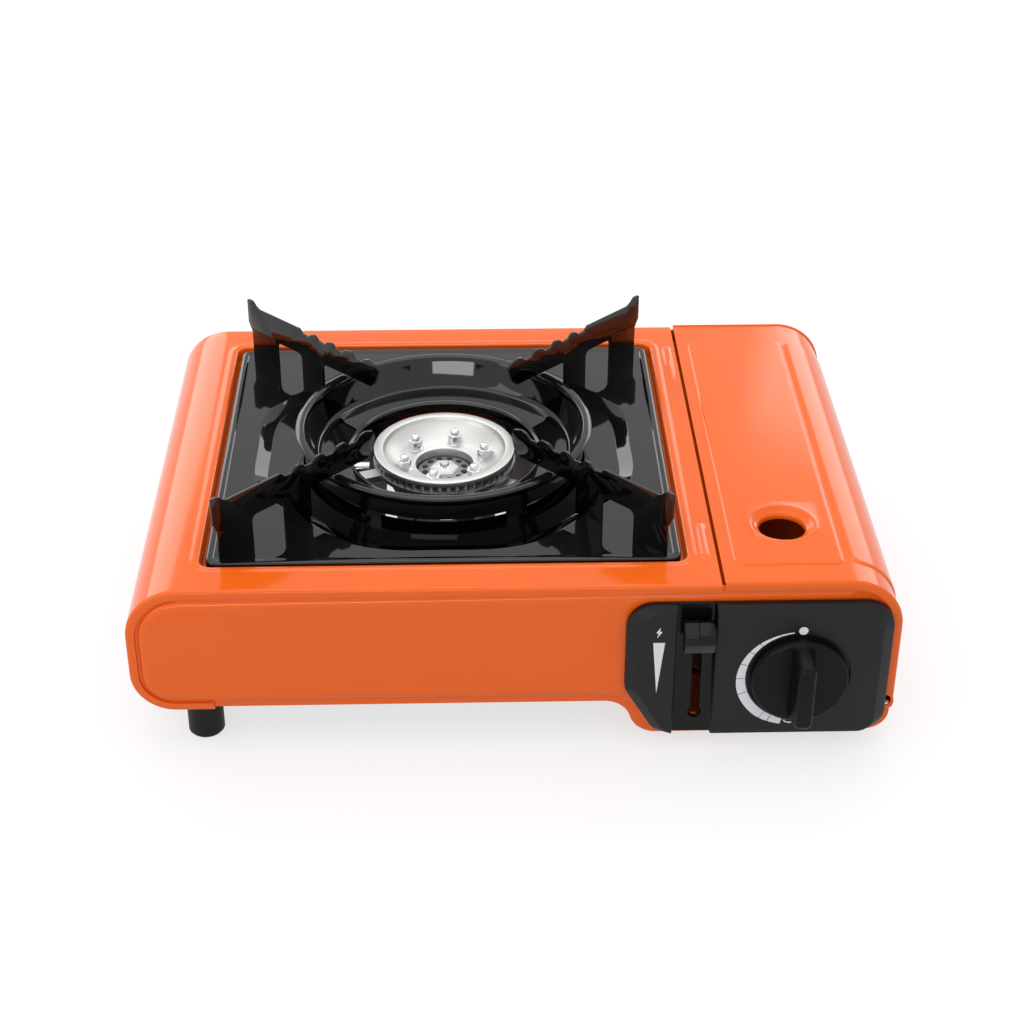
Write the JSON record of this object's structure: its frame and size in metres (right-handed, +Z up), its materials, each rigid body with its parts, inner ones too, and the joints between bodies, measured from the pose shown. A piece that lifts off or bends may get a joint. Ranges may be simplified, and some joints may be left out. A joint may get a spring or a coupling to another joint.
{
  "type": "portable gas stove",
  "caption": "Flat tabletop butane stove: one burner in a lift-off tray with notched pan supports, beside a cartridge bay under a hinged lid, with a gas knob and a lock lever",
  "frame": {"origin": "on the table, under the middle of the outer box", "axes": "+X towards the cartridge side, +Y towards the back, +Z up; the control panel faces -Y"},
  "size_m": [0.34, 0.2714, 0.116],
  "materials": {
    "orange_enamel": "glossy orange stove enamel over pressed steel",
    "black_enamel": "glossy black enamel on steel",
    "plain_steel": "zinc coated sheet steel",
    "bright_steel": "bright plated steel",
    "burner_alloy": "cast and machined aluminium",
    "control_black": "satin black moulded plastic",
    "knob_black": "satin black moulded plastic",
    "lever_black": "satin black moulded plastic",
    "brass": "turned brass",
    "foot_rubber": "black rubber",
    "seal_rubber": "black nitrile rubber",
    "ceramic": "glazed white ceramic",
    "wire_sleeve": "pale insulated lead"
  },
  "bodies": {
    "root": {"body_wrap": "orange_enamel", "front_panel": "orange_enamel", "rear_panel": "orange_enamel", "base_plate": "plain_steel", "can_trough": "orange_enamel", "partition_plate": "plain_steel", "lid_hinge_pins": "bright_steel", "burner_head": "burner_alloy", "burner_cap": "burner_alloy", "burner_bolts": "bright_steel", "burner_core": "bright_steel", "burner_bracket": "plain_steel", "electrode_insulator": "ceramic", "ignition_electrode": "bright_steel", "ignition_wire": "wire_sleeve", "igniter_module": "control_black", "gas_nozzle": "brass", "gas_pipe": "bright_steel", "regulator_body": "burner_alloy", "regulator_cap": "burner_alloy", "regulator_screws": "bright_steel", "can_connector": "brass", "connector_seal": "seal_rubber", "carrier_guide_screws": "bright_steel", "can_cradles": "plain_steel", "lever_pivot_pin": "bright_steel", "lever_spring": "bright_steel", "fascia": "control_black", "fascia_screws": "bright_steel", "foot_front_left": "foot_rubber", "foot_rear_left": "foot_rubber", "foot_front_right": "foot_rubber", "foot_rear_right": "foot_rubber", "foot_screws": "bright_steel", "panel_screws": "bright_steel"},
    "lid": {"lid_shell": "orange_enamel"},
    "tray": {"drip_tray": "black_enamel", "wind_ring": "black_enamel", "pan_support_front_left": "black_enamel", "pan_support_front_right": "black_enamel", "pan_support_rear_left": "black_enamel", "pan_support_rear_right": "black_enamel"},
    "lever": {"lever_plate": "plain_steel", "lever_knob": "lever_black"},
    "carrier": {"can_carrier": "plain_steel"},
    "knob": {"control_knob": "knob_black", "valve_shaft": "brass"}
  },
  "joints": [
    {"name": "lid_hinge", "type": "hinge", "parent": "root", "child": "lid", "pos_m": [0.1665, 0.01325, 0.02], "axis": [0, 1, 0], "range_deg": [0, 95]},
    {"name": "tray_lift", "type": "slide", "parent": "root", "child": "tray", "axis": [0, 0, 1], "range_m": [0, 0.06]},
    {"name": "lock_lever", "type": "hinge", "parent": "root", "child": "lever", "pos_m": [0.0795, -0.02725, 0.044], "axis": [1, 0, 0], "range_deg": [0, 24]},
    {"name": "carrier_slide", "type": "slide", "parent": "root", "child": "carrier", "axis": [0, -1, 0], "range_m": [0, 0.005]},
    {"name": "gas_knob", "type": "hinge", "parent": "root", "child": "knob", "pos_m": [0.125, -0.10925, 0.04], "axis": [0, -1, 0], "range_deg": [0, 180]}
  ],
  "couplings": [
    {"joint": "carrier_slide", "follows": "lock_lever", "m_per_rad": 0.011913}
  ]
}
